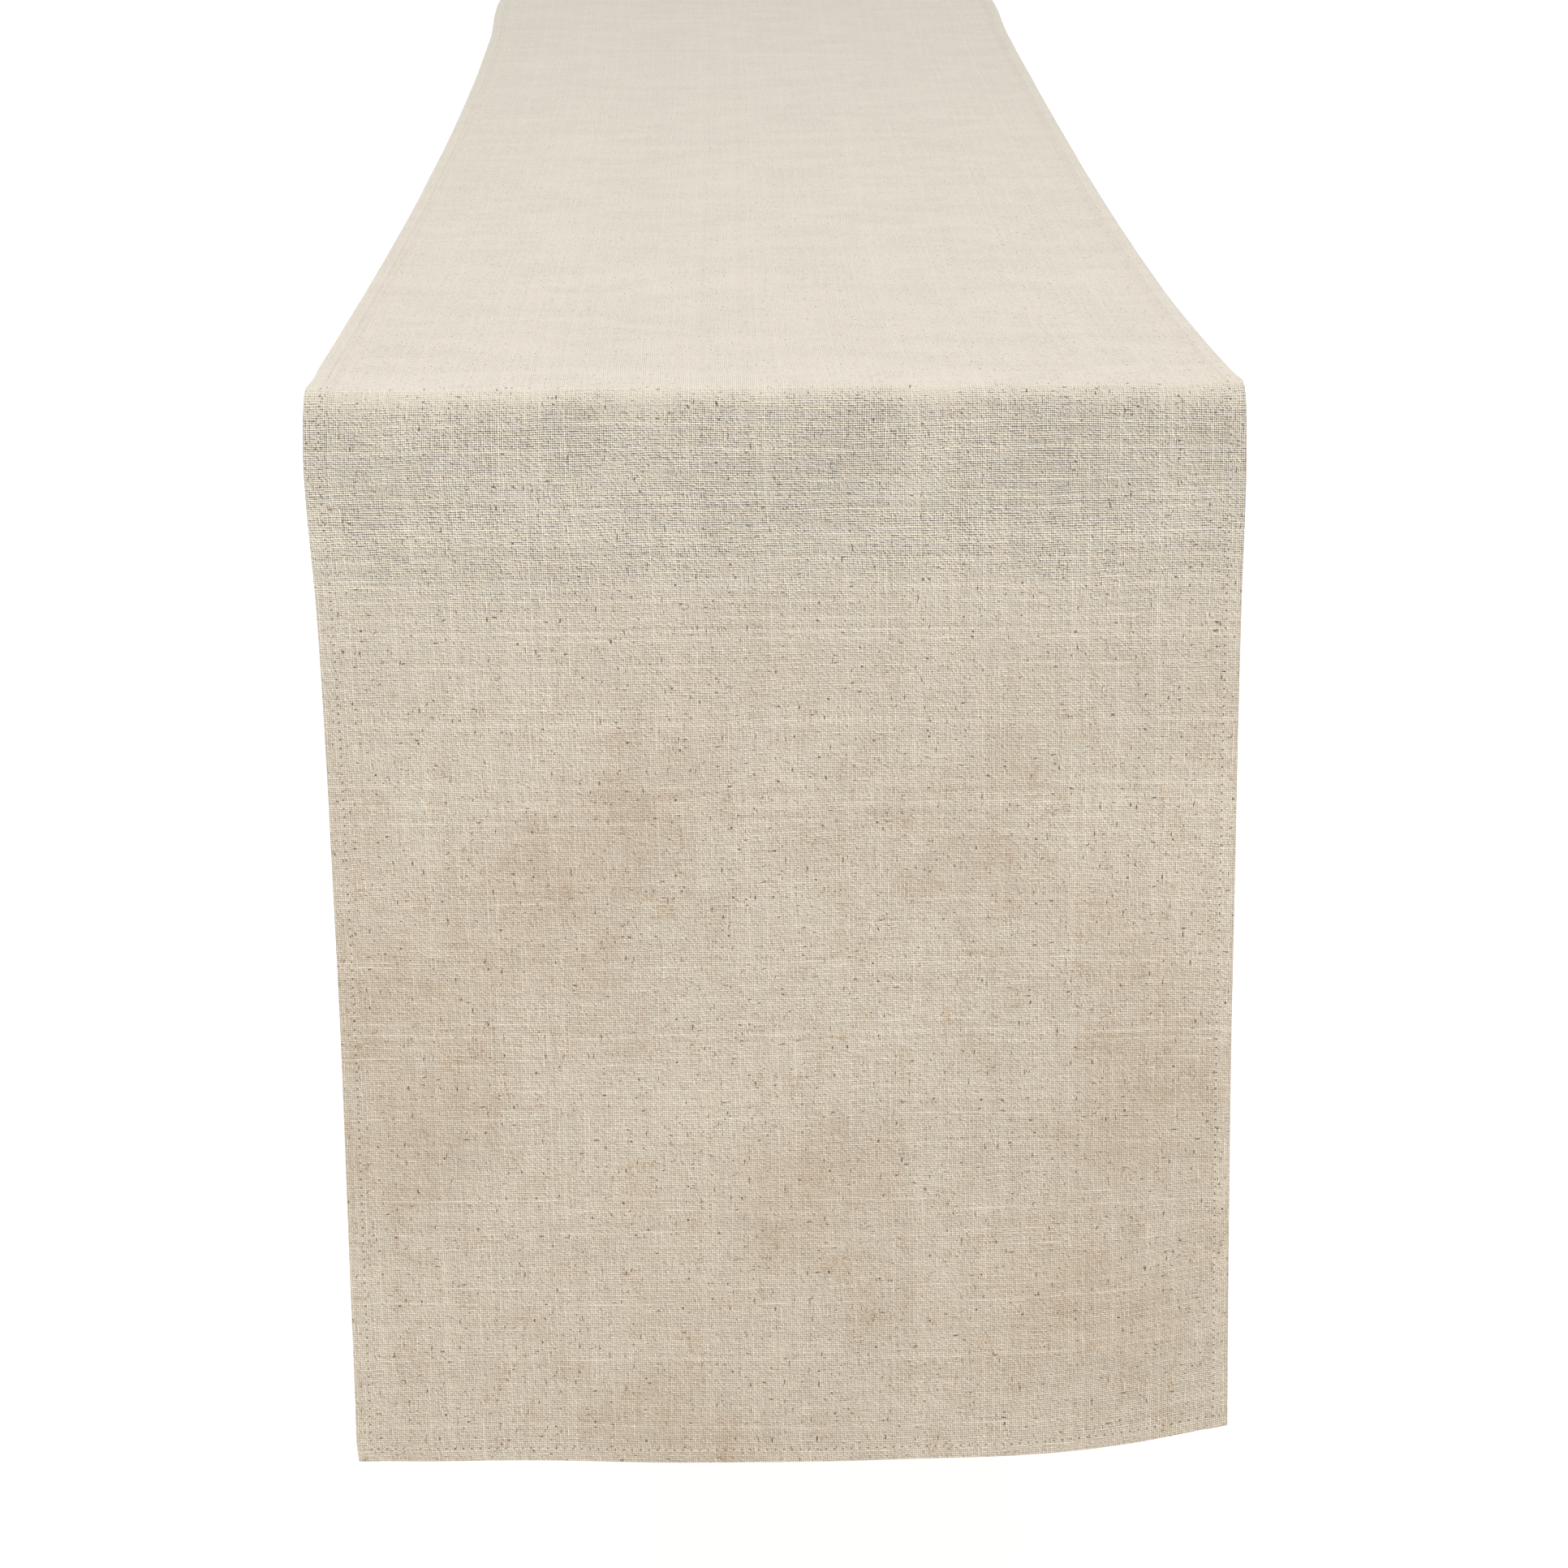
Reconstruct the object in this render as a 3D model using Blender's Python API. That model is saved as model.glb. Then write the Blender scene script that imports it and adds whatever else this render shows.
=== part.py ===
"""Hemmed table runner, laid along a table with a drop hanging over each end.

Metres, +Z up. The runner's length runs along Y, and the front drop hangs at -Y. The origin is the
centre of the underside of the stretch that lies on the table, so the table's top is at z = 0.

The real cloth is one woven length with a double-turned hem on all four sides, sewn down with a
lockstitch. It is divided here where it moves, which is at the two table edges, and where it folds,
which is at the hems. Every piece is described by its place across the width (x), along the cloth,
and outwards from the table (height), and the maps below bend that description over the table.
"""

import math

import bmesh
import bpy

# The runner, laid out.
CLOTH_WIDTH = 0.330
CLOTH_LENGTH = 2.743
DROP_DEPTH = 0.407  # from the table's top to the end hem's lower edge
CLOTH_THICKNESS = 0.0004
THREAD_RADIUS = 0.000125

# The hems. The raw edge is turned under twice, so two layers lie below the face cloth.
HEM_WIDTH = 0.0065
HEM_RAMP = 0.002  # where the face cloth climbs onto the hem's layers
RAW_EDGE_INSET = 0.001  # how far short of the outer fold the raw edge stops
HEM_LAYER_GAP = 0.0001
SIDE_STITCH_INSET = 0.0055
END_STITCH_INSET = 0.005

# The table's edge, which sets the bend.
EDGE_RADIUS = 0.006
BEND_STEPS = 10
FOLD_STEPS = 6
THREAD_ROUNDING = 2  # a thread's bevel resolution, which gives it eight sides
SHARP_ANGLE = math.radians(35)

# Room between neighbouring pieces.
CLEARANCE = 0.0003
TABLE_CLEARANCE = 0.00002  # under the bobbin thread

HALF_WIDTH = CLOTH_WIDTH / 2

# Heights above the table, from the bobbin thread up through the hem to the needle thread.
BOBBIN_HEIGHT = TABLE_CLEARANCE + THREAD_RADIUS
HEM_BOTTOM = BOBBIN_HEIGHT + THREAD_RADIUS + CLEARANCE
HEM_TOP = HEM_BOTTOM + 2 * CLOTH_THICKNESS + HEM_LAYER_GAP
FACE_OVER_HEM = HEM_TOP + CLEARANCE
NEEDLE_HEIGHT = FACE_OVER_HEM + CLOTH_THICKNESS + CLEARANCE + THREAD_RADIUS
STACK_TOP = NEEDLE_HEIGHT + THREAD_RADIUS

# The hinge line of a drop, in the middle of that stack. The bend stops far enough above it for the
# drop's outer edge to pass when the drop is lifted level.
HINGE_HEIGHT = STACK_TOP / 2
HINGE_ROOM = STACK_TOP - HINGE_HEIGHT + CLEARANCE

# The half length on the table is what the two drops and the two bends leave of the cloth.
BEND_LENGTH = math.pi / 2 * EDGE_RADIUS
TOP_HALF_LENGTH = CLOTH_LENGTH / 2 - (DROP_DEPTH - EDGE_RADIUS) - BEND_LENGTH
TABLE_HALF_LENGTH = TOP_HALF_LENGTH + EDGE_RADIUS

HINGE_Z = -EDGE_RADIUS - HINGE_ROOM
DROP_START_Z = HINGE_Z - CLEARANCE
DROP_END_Z = -DROP_DEPTH

FRONT = -1
BACK = 1
ENDS = {"front": FRONT, "back": BACK}
SIDES = {"left": -1, "right": 1}


def clear_scene():
    for obj in list(bpy.data.objects):
        bpy.data.objects.remove(obj, do_unlink=True)


def make_material(name, colour, roughness):
    material = bpy.data.materials.new(name)
    material.use_nodes = True
    shader = material.node_tree.nodes["Principled BSDF"]
    shader.inputs["Base Color"].default_value = (*colour, 1.0)
    shader.inputs["Roughness"].default_value = roughness
    shader.inputs["Metallic"].default_value = 0.0
    material.diffuse_color = (*colour, 1.0)
    return material


# Maps from the laid-out cloth to the draped one.


def on_table(x, height, y):
    return (x, y, height)


def on_bend(end):
    """The quarter turn over the table's edge: angle 0 is level, and a quarter turn is upright."""

    def place(x, height, angle):
        radius = EDGE_RADIUS + height
        y = TOP_HALF_LENGTH + radius * math.sin(angle)
        return (x, end * y, -EDGE_RADIUS + radius * math.cos(angle))

    return place


def on_drop(end):
    def place(x, height, z):
        return (x, end * (TABLE_HALF_LENGTH + height), z)

    return place


# Cross-sections, as (x, height) points around the outline.


def face_section(middle_height=0.0):
    """The face cloth: flat between the hems, up over their layers, and folded down at its edges."""
    hem_inner = HALF_WIDTH - HEM_WIDTH
    top = FACE_OVER_HEM + CLOTH_THICKNESS
    lip = HALF_WIDTH - CLOTH_THICKNESS
    right = [
        (hem_inner - HEM_RAMP, middle_height + CLOTH_THICKNESS),
        (hem_inner, top),
        (HALF_WIDTH, top),
        (HALF_WIDTH, HEM_BOTTOM),
        (lip, HEM_BOTTOM),
        (lip, FACE_OVER_HEM),
        (hem_inner, FACE_OVER_HEM),
        (hem_inner - HEM_RAMP, middle_height),
    ]
    left = [(-x, height) for x, height in reversed(right)]
    return right + left


def hem_section():
    """The two turned layers of a hem, as (distance in from the outer edge, height)."""
    outer = CLOTH_THICKNESS + CLEARANCE
    fold_radius = CLOTH_THICKNESS + HEM_LAYER_GAP / 2
    fold_centre = HEM_WIDTH - fold_radius
    middle = HEM_BOTTOM + fold_radius
    turn = [math.pi * step / FOLD_STEPS for step in range(FOLD_STEPS + 1)]
    outside = [
        (fold_centre + fold_radius * math.sin(a), middle - fold_radius * math.cos(a))
        for a in turn
    ]
    slot = HEM_LAYER_GAP / 2
    inside = [
        (fold_centre + slot * math.sin(a), middle + slot * math.cos(a)) for a in turn
    ]
    return [
        (outer, HEM_BOTTOM),
        *outside,
        (outer + RAW_EDGE_INSET, HEM_TOP),
        (outer + RAW_EDGE_INSET, HEM_TOP - CLOTH_THICKNESS),
        *inside,
        (outer, HEM_BOTTOM + CLOTH_THICKNESS),
    ]


def side_hem_section(side):
    return [(side * (HALF_WIDTH - inset), height) for inset, height in hem_section()]


# Making objects.


def add_object(name, data, pivot):
    """Adds a piece whose points are measured from its drop's hinge empty, or from the origin."""
    obj = bpy.data.objects.new(name, data)
    bpy.context.scene.collection.objects.link(obj)
    if pivot is not None:
        obj.parent = pivot
    return obj


def pivot_offset(pivot):
    return pivot.location if pivot is not None else (0.0, 0.0, 0.0)


def add_mesh(name, mesh, material, pivot):
    bmesh.ops.recalc_face_normals(mesh, faces=mesh.faces[:])
    offset = pivot_offset(pivot)
    bmesh.ops.translate(mesh, verts=mesh.verts[:], vec=[-value for value in offset])
    data = bpy.data.meshes.new(name)
    mesh.to_mesh(data)
    mesh.free()
    data.materials.append(material)
    data.shade_smooth()
    data.set_sharp_from_angle(angle=SHARP_ANGLE)
    return add_object(name, data, pivot)


def add_rings(mesh, rings):
    """Skins a run of matching outlines, and returns the rings of vertices with the ends still open."""
    made = [[mesh.verts.new(point) for point in ring] for ring in rings]
    for first, second in zip(made, made[1:]):
        for index in range(len(first)):
            after = (index + 1) % len(first)
            mesh.faces.new((first[index], first[after], second[after], second[index]))
    return made


def add_strip(name, section, place, stations, material, pivot=None):
    """A strip of cloth: one cross-section placed at each station along it, with its ends closed."""
    mesh = bmesh.new()
    rings = add_rings(mesh, [[place(x, h, s) for x, h in section] for s in stations])
    mesh.faces.new(rings[0])
    mesh.faces.new(rings[-1])
    return add_mesh(name, mesh, material, pivot)


def add_thread(name, points, material, pivot=None):
    """A row of stitches, as the plain round thread that it is sewn with."""
    curve = bpy.data.curves.new(name, "CURVE")
    curve.dimensions = "3D"
    curve.bevel_depth = THREAD_RADIUS
    curve.bevel_resolution = THREAD_ROUNDING
    curve.use_fill_caps = True
    spline = curve.splines.new("POLY")
    spline.points.add(len(points) - 1)
    offset = pivot_offset(pivot)
    for target, point in zip(spline.points, points):
        target.co = (*[value - shift for value, shift in zip(point, offset)], 1.0)
    spline.use_smooth = True
    curve.materials.append(material)
    return add_object(name, curve, pivot)


def add_pivot(end_name, end):
    pivot = bpy.data.objects.new(end_name + "_drop_pivot", None)
    pivot.location = (0.0, end * (TABLE_HALF_LENGTH + HINGE_HEIGHT), HINGE_Z)
    bpy.context.scene.collection.objects.link(pivot)
    return pivot


# The stretch on the table, with the two bends over its edges.


def bend_angles():
    """From just past the table's flat to the upright end, with the clearance left at the start."""
    start = CLEARANCE / EDGE_RADIUS
    step = (math.pi / 2 - start) / BEND_STEPS
    return [start + step * index for index in range(BEND_STEPS + 1)]


def make_top_span(cloth, hem_cloth):
    run = (-TOP_HALF_LENGTH, TOP_HALF_LENGTH)
    add_strip("top_cloth", face_section(), on_table, run, cloth)
    for side_name, side in SIDES.items():
        section = side_hem_section(side)
        add_strip(f"top_{side_name}_hem", section, on_table, run, hem_cloth)
    for end_name, end in ENDS.items():
        place = on_bend(end)
        add_strip(f"{end_name}_bend_cloth", face_section(), place, bend_angles(), cloth)
        for side_name, side in SIDES.items():
            name = f"{end_name}_bend_{side_name}_hem"
            add_strip(name, side_hem_section(side), place, bend_angles(), hem_cloth)


def make_top_threads(thread):
    """The side rows run on over both bends, so each is one thread from hinge to hinge."""
    for side_name, side in SIDES.items():
        x = side * (HALF_WIDTH - SIDE_STITCH_INSET)
        for kind, height in (("needle", NEEDLE_HEIGHT), ("bobbin", BOBBIN_HEIGHT)):
            front = [on_bend(FRONT)(x, height, angle) for angle in reversed(bend_angles())]
            back = [on_bend(BACK)(x, height, angle) for angle in bend_angles()]
            add_thread(f"top_{side_name}_{kind}_thread", front + back, thread)


# A drop, with its side hems, its end hem and the corners where they meet.


def make_drop_cloth(end_name, end, cloth, pivot):
    """The face cloth of a drop. Above the end hem it climbs onto the turned layers, and it is folded
    down along the bottom as it is at the sides."""
    place = on_drop(end)
    hem_inner_z = DROP_END_Z + HEM_WIDTH
    lip_z = DROP_END_Z + CLOTH_THICKNESS
    hanging = face_section()
    over_hem = face_section(FACE_OVER_HEM)
    top = FACE_OVER_HEM + CLOTH_THICKNESS
    mesh = bmesh.new()
    stations = (
        (hanging, DROP_START_Z),
        (hanging, hem_inner_z + HEM_RAMP),
        (over_hem, hem_inner_z),
        (over_hem, lip_z),
    )
    rings = add_rings(mesh, [[place(x, h, z) for x, h in ring] for ring, z in stations])
    mesh.faces.new(rings[0])
    # The outline's eight right-hand points run from the hem's ramp, out over the edge and back
    # under, and the left-hand ones mirror them, which gives the runs that the bottom fold joins.
    last = rings[-1]
    face = last[13:] + last[:3]
    under_lips = last[3:5] + last[11:13]
    inner_wall = last[4:12]
    corners = [
        mesh.verts.new(place(side * HALF_WIDTH, height, DROP_END_Z))
        for side, height in ((-1, top), (1, top), (1, HEM_BOTTOM), (-1, HEM_BOTTOM))
    ]
    mesh.faces.new(inner_wall)
    mesh.faces.new(face + [corners[1], corners[0]])
    mesh.faces.new(under_lips + [corners[3], corners[2]])
    mesh.faces.new([last[2], last[3], corners[2], corners[1]])
    mesh.faces.new([last[12], last[13], corners[0], corners[3]])
    mesh.faces.new(corners)
    return add_mesh(f"{end_name}_drop_cloth", mesh, cloth, pivot)


def make_drop_hems(end_name, end, hem_cloth, pivot):
    place = on_drop(end)
    corner_top_z = DROP_END_Z + HEM_WIDTH
    for side_name, side in SIDES.items():
        run = (DROP_START_Z, corner_top_z + CLEARANCE)
        name = f"{end_name}_drop_{side_name}_hem"
        add_strip(name, side_hem_section(side), place, run, hem_cloth, pivot)

    # The end hem has the same turned section, run across the width between the corners.
    def across(inset, height, x):
        return place(x, height, DROP_END_Z + inset)

    reach = HALF_WIDTH - HEM_WIDTH - CLEARANCE
    add_strip(f"{end_name}_end_hem", hem_section(), across, (-reach, reach), hem_cloth, pivot)

    # At a corner the side hem is rolled up inside the end hem, which makes a small firm block.
    inner = CLOTH_THICKNESS + CLEARANCE
    for side_name, side in SIDES.items():
        block = [
            (side * (HALF_WIDTH - inner), HEM_BOTTOM),
            (side * (HALF_WIDTH - HEM_WIDTH), HEM_BOTTOM),
            (side * (HALF_WIDTH - HEM_WIDTH), HEM_TOP),
            (side * (HALF_WIDTH - inner), HEM_TOP),
        ]
        run = (DROP_END_Z + inner, corner_top_z)
        add_strip(f"{end_name}_{side_name}_corner", block, place, run, hem_cloth, pivot)


def make_drop_threads(end_name, end, thread, pivot):
    """The end row runs right across, and the side rows stop just short of it."""
    place = on_drop(end)
    end_row_z = DROP_END_Z + END_STITCH_INSET
    side_row_end_z = end_row_z + THREAD_RADIUS + CLEARANCE
    edge = HALF_WIDTH - CLOTH_THICKNESS
    for kind, height in (("needle", NEEDLE_HEIGHT), ("bobbin", BOBBIN_HEIGHT)):
        for side_name, side in SIDES.items():
            x = side * (HALF_WIDTH - SIDE_STITCH_INSET)
            row = [place(x, height, DROP_START_Z), place(x, height, side_row_end_z)]
            add_thread(f"{end_name}_{side_name}_{kind}_thread", row, thread, pivot)
        row = [place(-edge, height, end_row_z), place(edge, height, end_row_z)]
        add_thread(f"{end_name}_end_{kind}_thread", row, thread, pivot)


clear_scene()
CLOTH = make_material("woven_cloth", (0.62, 0.54, 0.42), 0.9)
HEM_CLOTH = make_material("hem_cloth", (0.58, 0.50, 0.38), 0.9)
THREAD = make_material("sewing_thread", (0.66, 0.58, 0.46), 0.7)
make_top_span(CLOTH, HEM_CLOTH)
make_top_threads(THREAD)
for END_NAME, END in ENDS.items():
    PIVOT = add_pivot(END_NAME, END)
    make_drop_cloth(END_NAME, END, CLOTH, PIVOT)
    make_drop_hems(END_NAME, END, HEM_CLOTH, PIVOT)
    make_drop_threads(END_NAME, END, THREAD, PIVOT)
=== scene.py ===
"""A hemmed table runner in natural linen-look plain weave, laid along a table with a drop over each end.

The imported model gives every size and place. The cloth is made as a front half and a back half that
meet in the middle of the table, because each half crosses one hinge, at its end of the table.
"""

import math

import bpy
import numpy as np
from mathutils import Matrix, Vector


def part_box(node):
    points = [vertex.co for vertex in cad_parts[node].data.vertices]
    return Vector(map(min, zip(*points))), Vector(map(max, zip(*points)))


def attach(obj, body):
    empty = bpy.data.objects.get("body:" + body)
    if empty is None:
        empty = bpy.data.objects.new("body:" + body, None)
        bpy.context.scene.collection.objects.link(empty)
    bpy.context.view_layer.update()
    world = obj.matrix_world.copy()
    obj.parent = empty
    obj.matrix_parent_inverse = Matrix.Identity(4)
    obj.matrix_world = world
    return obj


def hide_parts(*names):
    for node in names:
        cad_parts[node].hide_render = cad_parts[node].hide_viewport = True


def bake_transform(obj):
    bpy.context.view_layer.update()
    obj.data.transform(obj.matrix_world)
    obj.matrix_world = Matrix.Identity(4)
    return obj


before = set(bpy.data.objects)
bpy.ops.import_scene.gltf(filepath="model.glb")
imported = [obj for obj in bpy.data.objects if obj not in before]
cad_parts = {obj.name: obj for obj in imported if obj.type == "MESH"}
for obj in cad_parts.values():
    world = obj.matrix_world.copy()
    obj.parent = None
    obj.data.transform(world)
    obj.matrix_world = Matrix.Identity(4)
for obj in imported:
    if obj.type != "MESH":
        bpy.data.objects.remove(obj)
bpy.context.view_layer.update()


# ---------------------------------------------------------------------------------------------------
# Camera. A long lens stands square to the front drop, a little above the table's top, and looks down
# along the runner, so the far end runs out of the picture.

LENS = 119.3
SENSOR = 36.0
CAMERA_AHEAD = 1.8402  # in front of the hanging cloth
CAMERA_ABOVE = 0.2733  # over the table's top
CAMERA_ASIDE = -0.0202
CAMERA_PITCH = math.radians(12.80)
CAMERA_YAW = math.radians(0.68)
CAMERA_ROLL = math.radians(-0.38)

TABLE_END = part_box("front_drop_cloth")[1].y  # the plane of the table's front edge


def add_camera():
    camera_data = bpy.data.cameras.new("camera")
    camera_data.lens = LENS
    camera_data.sensor_width = SENSOR
    camera = bpy.data.objects.new("camera", camera_data)
    forward = Vector((
        math.sin(CAMERA_YAW) * math.cos(CAMERA_PITCH),
        math.cos(CAMERA_YAW) * math.cos(CAMERA_PITCH),
        -math.sin(CAMERA_PITCH),
    ))
    level = Vector((math.cos(CAMERA_YAW), -math.sin(CAMERA_YAW), 0.0))
    upright = level.cross(forward)
    right = level * math.cos(CAMERA_ROLL) + upright * math.sin(CAMERA_ROLL)
    up = upright * math.cos(CAMERA_ROLL) - level * math.sin(CAMERA_ROLL)
    turn = Matrix((right, up, -forward)).transposed()
    place = Vector((CAMERA_ASIDE, TABLE_END - CAMERA_AHEAD, CAMERA_ABOVE))
    camera.matrix_world = Matrix.Translation(place) @ turn.to_4x4()
    bpy.context.scene.collection.objects.link(camera)
    bpy.context.scene.camera = camera


add_camera()


# ---------------------------------------------------------------------------------------------------
# Floor and light. A plain white studio floor at the foot of the table, an even white surround, one
# wide soft light high over the front half and a weaker one behind.

FLOOR_DROP = 0.74  # a table's height
FLOOR_SIZE = 80.0
FLOOR_WHITE = (0.90, 0.90, 0.90)
FLOOR_ROUGHNESS = 0.9
FLOOR_GLOW = 0.45  # the sweep is lit from below, more so away from the table
GLOW_NEAR = 0.5  # the share of the glow close to the middle
GLOW_FROM = 0.5  # metres from the middle, where it starts to grow
GLOW_TO = 5.0  # and where it is full
SURROUND = 0.80
TOP_LIGHT = {"place": (-0.3, -1.35, 2.3), "aim": (0.0, -0.90, 0.0), "size": 2.3, "power": 31.0}
BACK_LIGHT = {"place": (0.5, 2.2, 2.6), "aim": (0.0, 0.75, 0.0), "size": 2.4, "power": 12.0}


class Paint:
    """One socket of a material's nodes. Arithmetic on it adds the Math nodes."""

    def __init__(self, tree, socket=None):
        self.tree = tree
        self.socket = socket

    def add(self, kind, settings=None, sockets=None, out=0):
        node = self.tree.nodes.new(kind)
        for name, value in (settings or {}).items():
            setattr(node, name, value)
        for key, value in (sockets or {}).items():
            if isinstance(value, Paint):
                self.tree.links.new(value.socket, node.inputs[key])
            else:
                node.inputs[key].default_value = value
        return Paint(self.tree, node.outputs[out])

    def math(self, operation, *values):
        return self.add("ShaderNodeMath", {"operation": operation}, dict(enumerate((self, *values))))

    def __add__(self, other):
        return self.math("ADD", other)

    def __sub__(self, other):
        return self.math("SUBTRACT", other)

    def __rsub__(self, other):
        return self.math("MULTIPLY_ADD", -1.0, other)

    def __mul__(self, other):
        return self.math("MULTIPLY", other)

    def __truediv__(self, other):
        return self.math("DIVIDE", other)

    __radd__ = __add__
    __rmul__ = __mul__


def new_material(name):
    """A material with only its output, and the paint that adds nodes to it."""
    material = bpy.data.materials.new(name)
    material.use_nodes = True
    material.node_tree.nodes.clear()
    return material, Paint(material.node_tree)


def finish_material(paint, surface):
    output = paint.tree.nodes.new("ShaderNodeOutputMaterial")
    paint.tree.links.new(surface.socket, output.inputs["Surface"])


def add_floor():
    material, paint = new_material("studio_floor")
    place = paint.add("ShaderNodeTexCoord", out=3)
    away = paint.add("ShaderNodeVectorMath", {"operation": "LENGTH"}, {0: place}, out=1)
    glow = paint.add(
        "ShaderNodeMapRange",
        {},
        {"Value": away, "From Min": GLOW_FROM, "From Max": GLOW_TO, "To Min": GLOW_NEAR},
    )
    shader = paint.add(
        "ShaderNodeBsdfPrincipled",
        {},
        {
            "Base Color": (*FLOOR_WHITE, 1.0),
            "Roughness": FLOOR_ROUGHNESS,
            "Emission Color": paint.add("ShaderNodeCombineColor", {}, {0: glow, 1: glow, 2: glow}),
            "Emission Strength": FLOOR_GLOW,
        },
    )
    finish_material(paint, shader)
    reach = FLOOR_SIZE / 2
    corners = [(-reach, -reach), (reach, -reach), (reach, reach), (-reach, reach)]
    mesh = bpy.data.meshes.new("floor")
    mesh.from_pydata([(x, y, -FLOOR_DROP) for x, y in corners], [], [(0, 1, 2, 3)])
    mesh.materials.append(material)
    floor = bpy.data.objects.new("floor", mesh)
    bpy.context.scene.collection.objects.link(floor)


def add_soft_light(name, place, aim, size, power):
    light_data = bpy.data.lights.new(name, "AREA")
    light_data.shape = "DISK"
    light_data.size = size
    light_data.energy = power
    light = bpy.data.objects.new(name, light_data)
    light.location = place
    light.rotation_euler = (Vector(aim) - Vector(place)).to_track_quat("-Z", "Y").to_euler()
    bpy.context.scene.collection.objects.link(light)


def add_surround():
    world = bpy.data.worlds.new("surround")
    world.use_nodes = True
    world.node_tree.nodes["Background"].inputs["Color"].default_value = (1.0, 1.0, 1.0, 1.0)
    world.node_tree.nodes["Background"].inputs["Strength"].default_value = SURROUND
    bpy.context.scene.world = world


add_floor()
add_surround()
add_soft_light("top_light", **TOP_LIGHT)
add_soft_light("back_light", **BACK_LIGHT)
bpy.context.scene.view_settings.view_transform = "Standard"


# ---------------------------------------------------------------------------------------------------
# The woven cloth. One length of loose plain weave in slubbed natural yarn, cut long enough to turn
# under twice on all four sides. It lies flat on the table, rolls over each edge and hangs free.

HALF_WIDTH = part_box("top_cloth")[1].x
TOP_HALF_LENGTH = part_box("top_cloth")[1].y
EDGE_RADIUS = -TABLE_END - TOP_HALF_LENGTH
BEND_LENGTH = math.pi / 2 * EDGE_RADIUS
DROP_DEPTH = -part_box("front_drop_cloth")[0].z
HALF_LENGTH = TOP_HALF_LENGTH + BEND_LENGTH + DROP_DEPTH - EDGE_RADIUS

THICKNESS = 0.0004
HEM_WIDTH = HALF_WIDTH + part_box("top_left_hem")[1].x
HEM_RAMP = 0.0025  # where the face cloth climbs onto the turned layers
FOLD_RADIUS = 1.5 * THICKNESS  # three layers thick, so the outer fold is half of that
TABLE_GAP = 0.00002
THREAD_RADIUS = 0.000125
SIDE_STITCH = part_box("top_right_needle_thread")[0].x + THREAD_RADIUS
END_STITCH = HALF_LENGTH - DROP_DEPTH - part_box("front_end_needle_thread")[0].z - THREAD_RADIUS
STITCH_PULL = 0.00025  # how deep the stitches draw the layers together
STITCH_FURROW = 0.0009  # half the width of the furrow they leave

# The grid that the cloth is made on.
TOP_STEP = 0.006
CLOTH_STEP = 0.003
BEND_STEPS = 10
FOLD_STEPS = 6
OPEN_CLOTH = 0.0115  # how far in from the outer edge the even grid stops
# Over a hem its lines are closer together where the cloth climbs and at the stitches. Each is given
# as its distance in from the outer edge.
HEM_LINES = [
    0.0098, 0.0090, 0.0082, 0.0074, 0.0067, 0.0061,
    0.0055, 0.0049, 0.0042, 0.0032, 0.0022, 0.0013,
]
SHARP_FOLD = math.radians(50)  # turns tighter than this show as an edge

# How far each side stands out from straight, as (distance along the cloth from the middle, metres
# outwards). The cloth spreads where it turns over the table's edges and is drawn in between them.
LEFT_OUTLINE = [
    (-1.372, -0.0064), (-1.3655, -0.0057), (-1.350, -0.0055), (-1.165, -0.0025),
    (-1.045, 0.0012), (-0.982, 0.0045), (-0.9665, 0.0038), (-0.9610, 0.0033),
    (-0.905, 0.0021), (-0.667, -0.0013), (-0.270, -0.0040), (0.230, -0.0026),
    (0.550, 0.0010), (0.955, 0.0072), (1.060, 0.0030), (1.372, -0.0040),
]
RIGHT_OUTLINE = [
    (-1.372, 0.0005), (-1.165, 0.0006), (-1.045, 0.0021), (-0.982, 0.0031), (-0.9665, 0.0025),
    (-0.9610, 0.0019), (-0.905, -0.0010), (-0.820, -0.0035), (-0.470, -0.0060), (-0.040, -0.0038),
    (0.230, -0.0012), (0.550, 0.0022), (0.955, 0.0072), (1.060, 0.0034), (1.372, -0.0020),
]

# How the end hem hangs, as (across, metres up from the full drop), and how far up the cloth the
# yarns follow it.
FRONT_HANG = [
    (-0.165, 0.0054), (-0.090, 0.0043), (0.030, 0.0024),
    (0.090, 0.0049), (0.132, 0.0097), (0.165, 0.0162),
]
BACK_HANG = [(-0.165, 0.0070), (-0.080, 0.0022), (0.050, 0.0016), (0.165, 0.0060)]
HANG_REACH = 0.16

# Slow waves of the hanging cloth: (metres deep, waves a metre across, waves a metre down, phase).
WAVES = [
    (0.0009, 3.1, 1.7, 0.4), (0.0008, -4.3, 3.9, 1.9), (0.0005, 7.9, 2.6, 3.3),
    (0.0004, -6.1, 8.3, 5.1), (0.0003, 12.7, -5.9, 2.2),
]
BACK_PHASE = 2.4  # sets the back drop's waves apart from the front's
WAVE_START = 0.15  # how far below the edge they are full
TABLE_WAVE = 0.11  # the share of them left on the table
TABLE_WAVE_STOP = 0.12  # how far before the edge they start to die away
DROP_STANDOFF = 0.0012  # keeps the deepest wave off the table's side
TABLE_STANDOFF = 0.002  # and off its top

# Creases of the front drop, as (across, depth) at each end, how high they stand and half their width.
CREASES = [
    (0.081, 0.3925, 0.139, 0.3875, 0.00045, 0.0040),
    (0.106, 0.1660, 0.142, 0.1770, 0.00045, 0.0030),
    (0.110, 0.1800, 0.138, 0.1790, -0.00030, 0.0030),
    (0.076, 0.2560, 0.128, 0.2600, 0.00025, 0.0026),
    (-0.148, 0.0300, -0.118, 0.0900, -0.00035, 0.0060),
    (-0.040, 0.0250, 0.060, 0.0300, -0.00025, 0.0070),
]
CREASE_FADE = (-0.15, 0.25)  # where a crease starts and is full, as shares of its length


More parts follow.
